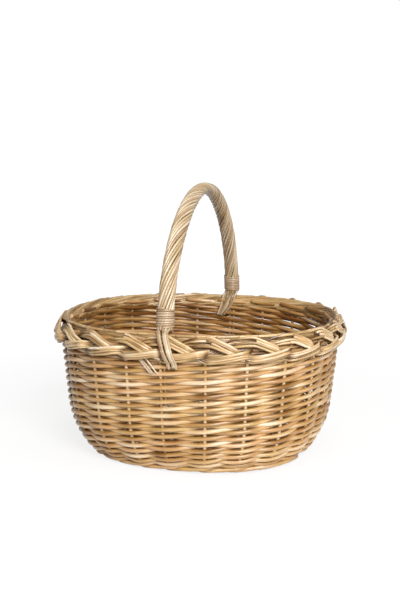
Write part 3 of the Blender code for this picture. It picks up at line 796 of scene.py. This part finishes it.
def make_border(material):
    """Three strands of parallel rods plaited round the rim, over rods that climb along its inside."""
    for number in range(STRAND_COUNT):
        bundle = Bundle(500 + number)
        random = bundle.random
        for lane in range(STRAND_LANES):
            start = STRAND_STARTS[number] - random.random()
            while start < STRAND_END - 0.2:
                tip = math.floor(start) + random.integers(1, 3) + 0.14 + 0.08 * random.random()
                onward = 0.24 if random.random() < 0.5 else -0.22
                low, high = max(start, STRAND_STARTS[number]), min(tip + onward, STRAND_END)
                if high - low > 0.15:
                    count = int((high - low) * 80) + 8
                    s = np.linspace(low, high, count)
                    sink = np.clip((s - tip + 0.03) / 0.12, 0, 1)
                    rise = np.clip(1 - (s - low) / 0.15, 0, 1)
                    lift = wander(random, count, 10, 0.35) * MM - sink * 1.6 * MM + rise * 0.4 * MM
                    wobble = wander(random, count, 7, 0.55) * MM
                    path, face, painted_recess_shade = plait_path(s, number, lane, wobble, lift)
                    size = np.linspace(PLAIT_BUTT, PLAIT_TIP, count) + wander(random, count, 10, 0.07)
                    shades = np.clip(random.normal(0.55, 0.24, 14), 0, 1)
                    # Painted shade: the rod's tone is dimmed where it dives under the other strands.
                    stroke = np.interp(np.linspace(0, 13, count), np.arange(14), shades) - 0.9 * painted_recess_shade
                    # Painted shade on each strand rod's inner half as well.
                    bundle.rod(path, face, size * MM, 0.96, 12, None, stroke, inside=0.3)
                start = tip
        for half in range(2 * STAKE_COUNT):
            if half // 2 % STRAND_COUNT != number:
                continue
            u = np.linspace(0, 1, 36)
            turn = (half / 2 + 1.0 - 3.2 * u + 0.06 * random.normal()) / STAKE_COUNT
            height = np.interp(u, (0, 0.2, 0.82, 1), (0.1810, 0.1832, 0.1945, 0.1950))
            height = height + wander(random, 36, 5, 0.25) * MM
            inset = np.interp(u, (0, 0.2, 0.80, 1), (0.0225, 0.0225, 0.0195, 0.0165))
            inset = inset + wander(random, 36, 5, 0.4) * MM
            path = smooth(on_oval(turn, inset, height), 60)
            inward = on_oval(turn[18], 0.001, 0.0) - on_oval(turn[18], 0.0, 0.0)
            size = np.linspace(2.3, 1.8, 60) * MM
            # Painted shade: these rods face the basket's inside, so they get a low shade and stroke.
            bundle.rod(path, inward, size, 0.85, 10, 0.15 + 0.45 * random.random(), 0.35)
        turn = np.linspace(0, 1.02, 400) + number / STRAND_COUNT
        across = CORE_PLACES[number] + wander(random, 400, 30, 0.8) * MM
        core = in_plait(turn, across, -CORE_DEPTH)
        # Painted shade: the core behind the strands gets a very low stroke and shade.
        bundle.rod(core, plait_face(turn), 2.2 * MM, 1.0, 10, 0.3, 0.05)
        for stub in range(number, 2 * STAKE_COUNT, 5):
            turn = (stub / 2 + random.random() / 2 + np.linspace(0, 0.26, 8)) / STAKE_COUNT
            across = np.linspace(-12.0, -16.5 + 1.5 * random.random(), 8) * MM
            path = in_plait(turn, across, np.linspace(-0.5, -3.0, 8) * MM)
            bundle.rod(path, plait_face(turn), (1.7 + 0.3 * random.random()) * MM)
        bundle.build(f"border_strand_{number + 1}", material)


def make_bow(material):
    """The thick bow of the handle, whose sharpened ends run down beside two stakes."""
    bundle = Bundle(600)
    arch = on_arch(np.linspace(BOW_TAPER, ARCH_RUN - BOW_TAPER, 90))
    legs = []
    for place in HANDLE_PLACES:
        turn = place_turn(place)
        leg = on_wall(turn, np.linspace(WALL_RUN - BOW_DEPTH, WALL_RUN, 12))
        legs.append(np.vstack([leg, on_oval(turn, TOP_INSET, HANDLE_SPRING)]))
    points = np.vstack([legs[1], arch, legs[0][::-1]])
    leg = np.linspace(0.5, 1, len(legs[0])) * BOW_POINT_DIAMETER / 2
    size = np.concatenate([leg, np.full(len(arch), BOW_DIAMETER / 2), leg[::-1]])
    bundle.rod(points, np.array([1.0, 0.0, 0.0]), size, 1.0, 12)
    bundle.build("handle_bow", material)


# How far the outer ends drift along the border on their way down.
OUTER_DRIFT = 0.0135
ROPE_STEPS = 220
# A roped rod's half-width at its butt, how much it thins, and how far it stands off, all in mm.
ROPE_BUTT, ROPE_THINNING, ROPE_STAND_OFF = 1.86, 0.12, 1.5


def outer_tail(foot, sway, radius, cut):
    """A rod's end over the outside of the border and down onto the siding."""
    crest = PLAIT_SWING + 6.2 * MM + radius
    face = PLAIT_DEPTH + 2.4 * MM + radius
    ups = np.array([1, 0.82, 0.4, 0, -0.4, -0.85])
    outs = np.array([0.6, 0.86, 1.0, 1.0, 1.0, 0.9])
    alongs = np.array([0, 0.1, 0.3, 0.5, 0.7, 0.9])
    turns = foot + shift(sway * (1 - 0.12 * alongs) + alongs * OUTER_DRIFT)
    points = in_plait(turns, ups * crest, outs * face)
    below = BORDER_OVERHANG - radius - CLEARANCE
    turn = foot + shift(0.86 * sway + OUTER_DRIFT, below)
    heights = SIDING_TOP - np.array([2 * radius, 8 * MM + cut])
    return np.vstack([points, on_oval(turn, np.array([below, below + 2 * MM]), heights)])


def inner_tail(foot, sway, depth, radius):
    """A rod's end down the inside of the border, to just above the siding."""
    inset = TOP_INSET + max(depth, BOW_POINT_DIAMETER / 2 + CLEARANCE + radius)
    heights = np.array([HANDLE_SPRING, SIDING_TOP + 14 * MM, SIDING_TOP + 2 * MM])
    sways = sway * np.array([1, 0.8, 0.55]) + np.array([0, 0.5, 1]) * TAIL_DRIFT
    return on_oval(foot + shift(sways, inset), inset + np.array([0, 2, 3]) * MM, heights)


def make_rope(material):
    """Rods roped round the bow, whose ends part over the border to its outside and inside."""
    radius = BOW_DIAMETER / 2 + ROPE_GAP + ROPE_DIAMETER / 2
    spacing = ROPE_DIAMETER + 4 * CLEARANCE
    feet = ((HANDLE_PLACES[1], 0, 1), (HANDLE_PLACES[0], 1, -1))
    share = np.linspace(0, 1, ROPE_STEPS + 1)
    runs = ROPE_FOOT + share * (ARCH_RUN - 2 * ROPE_FOOT)
    pressed = bell(share, 0.5, 0.16)
    bundles = [Bundle(700 + number) for number in range(ROPE_RODS)]
    for number, before in enumerate(np.cumsum(ROPE_GAPS) - ROPE_GAPS[0]):
        bundle = bundles[number * ROPE_RODS // len(ROPE_GAPS)]
        random = bundle.random
        start = TAU * before / sum(ROPE_GAPS)
        angles = start + TAU * ROPE_TURNS * (share - 0.045 * np.sin(TAU * share))
        centre = on_arch(runs)
        drift = wander(random, ROPE_STEPS + 1, 20, 0.12) * MM
        middle = on_arch(runs, radius + ROPE_STAND_OFF * MM + drift, angles)
        middle[:, 2] -= 0.3 * pressed * (middle - centre)[:, 2]
        away = unit(middle - centre)
        tails, faces = [], []
        for place, at, way in feet:
            angle = start + TAU * ROPE_TURNS * at
            out = math.cos(angle)
            sway = spacing * way * math.asin(math.sin(angle)) * ROPE_RODS / TAU
            foot = place_turn(place)
            if out > 1e-6 and number in ROPE_OUTSIDE:
                tail = outer_tail(foot, 0.75 * sway, ROPE_DIAMETER / 2, (random.random() * 4 - 1) * MM)
            elif out > 1e-6:
                tail = inner_tail(foot, 0.6 * sway, radius, ROPE_DIAMETER / 2)
            else:
                tail = inner_tail(foot, 0.85 * sway, -out * radius, ROPE_DIAMETER / 2)
            join = middle[0] if at == 0 else middle[-1]
            curve = smooth([join, *tail], 40)[1:]
            tails.append(curve)
            direction = on_oval(foot, 0.0, 0.0) - on_oval(foot, MM, 0.0)
            faces.append(np.tile(unit(direction) * math.copysign(1, out), (len(curve), 1)))
        points = np.vstack([tails[0][::-1], middle, tails[1]])
        face = np.vstack([faces[0], away, faces[1]])
        for _ in range(6):
            face[1:-1] = (face[:-2] + face[1:-1] + face[2:]) / 3
        share_all = np.linspace(0, 1, len(points))
        if number % 2:
            share_all = share_all[::-1]
        size = (ROPE_BUTT - ROPE_THINNING * share_all + wander(random, len(points), 20, 0.06)) * MM
        thin = np.linspace(0.72, 1.0, len(tails[0]))
        size = size * np.concatenate([thin, 1 - 0.1 * pressed, thin[::-1]])
        shades = np.clip(random.normal(0.5, 0.2, 16), 0, 1)
        stroke = np.interp(np.linspace(0, 15, len(points)), np.arange(16), shades)
        # Painted shade on each roped rod's inner half.
        bundle.rod(points, face, size, 1.0, 12, None, stroke, inside=0.9)
        if number in ROPE_CUT:
            foot = place_turn(HANDLE_PLACES[1]) + shift(math.sin(start) * 5.5 * MM)
            turns = foot + shift(np.linspace(-0.036, -0.015, 12) * (1 + 0.1 * math.sin(3 * start)))
            down = WALL_RUN + np.linspace(4, -18 - random.random(), 12) * MM
            end = on_wall(turns, down, np.linspace(6.5, 7.6, 12) * MM)
            bundle.rod(end, wall_face(turns, WALL_RUN - 0.01), np.linspace(1.25, 1.0, 12) * MM)
    for number, bundle in enumerate(bundles):
        bundle.build(f"rope_rod_{number + 1}", material)


def make_bindings(material):
    """Fine cane wound round each foot of the handle."""
    radius = BOW_DIAMETER / 2 + ROPE_GAP + ROPE_DIAMETER + CLEARANCE + BINDING_DIAMETER / 2
    pitch = BINDING_DIAMETER + BINDING_GAP
    foot = ROPE_FOOT + BINDING_DIAMETER
    for name, way in (("front_binding", 1), ("back_binding", -1)):
        bundle = Bundle(800 + way)
        share = np.linspace(0, BINDING_TURNS, BINDING_TURNS * 36 + 1)
        run = foot + share * pitch
        run = run if way > 0 else ARCH_RUN - run
        points = on_arch(run, radius, TAU * share)
        face = unit(points - on_arch(run))
        stroke = np.clip(0.5 + wander(bundle.random, len(points), 20, 0.25), 0, 1)
        bundle.rod(points, face, 1.4 * MM, 0.8, 10, 0.55, stroke)
        bundle.build(name, material)


# Studio

# The camera, fitted to the photograph: its lens in mm, and its place and target in metres and radians.
CAMERA_LENS = 63.27
CAMERA_TURN = 0.27011
CAMERA_ROLL = 0.00523
CAMERA_DISTANCE = 1.5
CAMERA_HEIGHT = 0.44729
TARGET_ASIDE = -0.00152
TARGET_HEIGHT = 0.2140


def make_floor():
    """A plain pale floor, which looks white to the camera but for the object's shadow."""
    mesh = bpy.data.meshes.new("floor")
    half = 14.0
    corners = [(-half, -half, 0), (half, -half, 0), (half, half, 0), (-half, half, 0)]
    mesh.from_pydata(corners, [], [(0, 1, 2, 3)])
    material = bpy.data.materials.new("floor")
    material.use_nodes = True
    nodes, links = material.node_tree.nodes, material.node_tree.links
    shader = nodes["Principled BSDF"]
    shader.inputs["Base Color"].default_value = (0.86, 0.86, 0.86, 1)
    shader.inputs["Roughness"].default_value = 0.9
    shader.inputs["Specular IOR Level"].default_value = 0.0
    glow = nodes.new("ShaderNodeEmission")
    glow.inputs[0].default_value = (1, 1, 1, 1)
    glow.inputs[1].default_value = 1.06
    path = nodes.new("ShaderNodeLightPath")
    place = nodes.new("ShaderNodeTexCoord")
    away = nodes.new("ShaderNodeVectorMath")
    away.operation = "LENGTH"
    links.new(place.outputs["Object"], away.inputs[0])
    fade = nodes.new("ShaderNodeMapRange")
    fade.interpolation_type = "SMOOTHSTEP"
    fade.inputs["From Min"].default_value = 0.3
    fade.inputs["From Max"].default_value = 1.3
    fade.inputs["To Min"].default_value = 0.78
    links.new(away.outputs["Value"], fade.inputs["Value"])
    seen = nodes.new("ShaderNodeMath")
    seen.operation = "MULTIPLY"
    links.new(fade.outputs["Result"], seen.inputs[1])
    links.new(path.outputs["Is Camera Ray"], seen.inputs[0])
    mix = nodes.new("ShaderNodeMixShader")
    links.new(seen.outputs[0], mix.inputs[0])
    links.new(shader.outputs[0], mix.inputs[1])
    links.new(glow.outputs[0], mix.inputs[2])
    links.new(mix.outputs[0], nodes["Material Output"].inputs[0])
    mesh.materials.append(material)
    floor = bpy.data.objects.new("floor", mesh)
    bpy.context.scene.collection.objects.link(floor)


def make_world():
    """Soft light from all round, and plain white behind."""
    world = bpy.data.worlds.new("studio")
    bpy.context.scene.world = world
    world.use_nodes = True
    nodes, links = world.node_tree.nodes, world.node_tree.links
    soft = nodes["Background"]
    soft.inputs[0].default_value = (1.0, 0.985, 0.96, 1)
    soft.inputs[1].default_value = 0.27
    white = nodes.new("ShaderNodeBackground")
    white.inputs[0].default_value = (1, 1, 1, 1)
    path = nodes.new("ShaderNodeLightPath")
    mix = nodes.new("ShaderNodeMixShader")
    links.new(path.outputs["Is Camera Ray"], mix.inputs[0])
    links.new(soft.outputs[0], mix.inputs[1])
    links.new(white.outputs[0], mix.inputs[2])
    links.new(mix.outputs[0], nodes["World Output"].inputs[0])


def add_lamp(name, place, target, size, power):
    """A square soft box that looks at a point."""
    light = bpy.data.lights.new(name, "AREA")
    light.size = size
    light.energy = power
    lamp = bpy.data.objects.new(name, light)
    bpy.context.scene.collection.objects.link(lamp)
    look_from(lamp, place, target)


def look_from(thing, place, target, roll=0.0):
    """Puts a lamp or the camera at a place, looking at a target, turned by roll about its own view."""
    away = (Vector(place) - Vector(target)).normalized()
    right = Vector((0, 0, 1)).cross(away).normalized()
    up = away.cross(right)
    turn = Matrix((right, up, away)).transposed() @ Matrix.Rotation(roll, 3, "Z")
    thing.matrix_world = Matrix.Translation(place) @ turn.to_4x4()


def make_camera():
    """The photograph's view: a little above the rim, from the front and slightly to the right."""
    lens = bpy.data.cameras.new("camera")
    lens.sensor_fit = "VERTICAL"
    lens.sensor_height = 36.0
    lens.lens = CAMERA_LENS
    camera = bpy.data.objects.new("camera", lens)
    bpy.context.scene.collection.objects.link(camera)
    c, s = math.cos(CAMERA_TURN), math.sin(CAMERA_TURN)
    place = (CAMERA_DISTANCE * s, -CAMERA_DISTANCE * c, CAMERA_HEIGHT)
    look_from(camera, place, (TARGET_ASIDE * c, TARGET_ASIDE * s, TARGET_HEIGHT), CAMERA_ROLL)
    bpy.context.scene.camera = camera


def main():
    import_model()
    finish = make_materials()
    make_base(finish["base_willow"])
    make_stakes(finish["stake_willow"])
    make_foot_wale(finish["weaver_willow"])
    make_siding(finish["weaver_willow"])
    make_border(finish["border_willow"])
    make_bow(finish["handle_willow"])
    make_rope(finish["handle_willow"])
    make_bindings(finish["binding_cane"])
    make_floor()
    make_world()
    add_lamp("key", (1.6, -2.6, 1.75), (0, 0, 0.12), 1.3, 128)
    add_lamp("top", (0.5, -0.6, 2.8), (0, 0, 0.12), 1.2, 16)
    make_camera()
    bpy.context.scene.view_settings.view_transform = "Standard"


main()
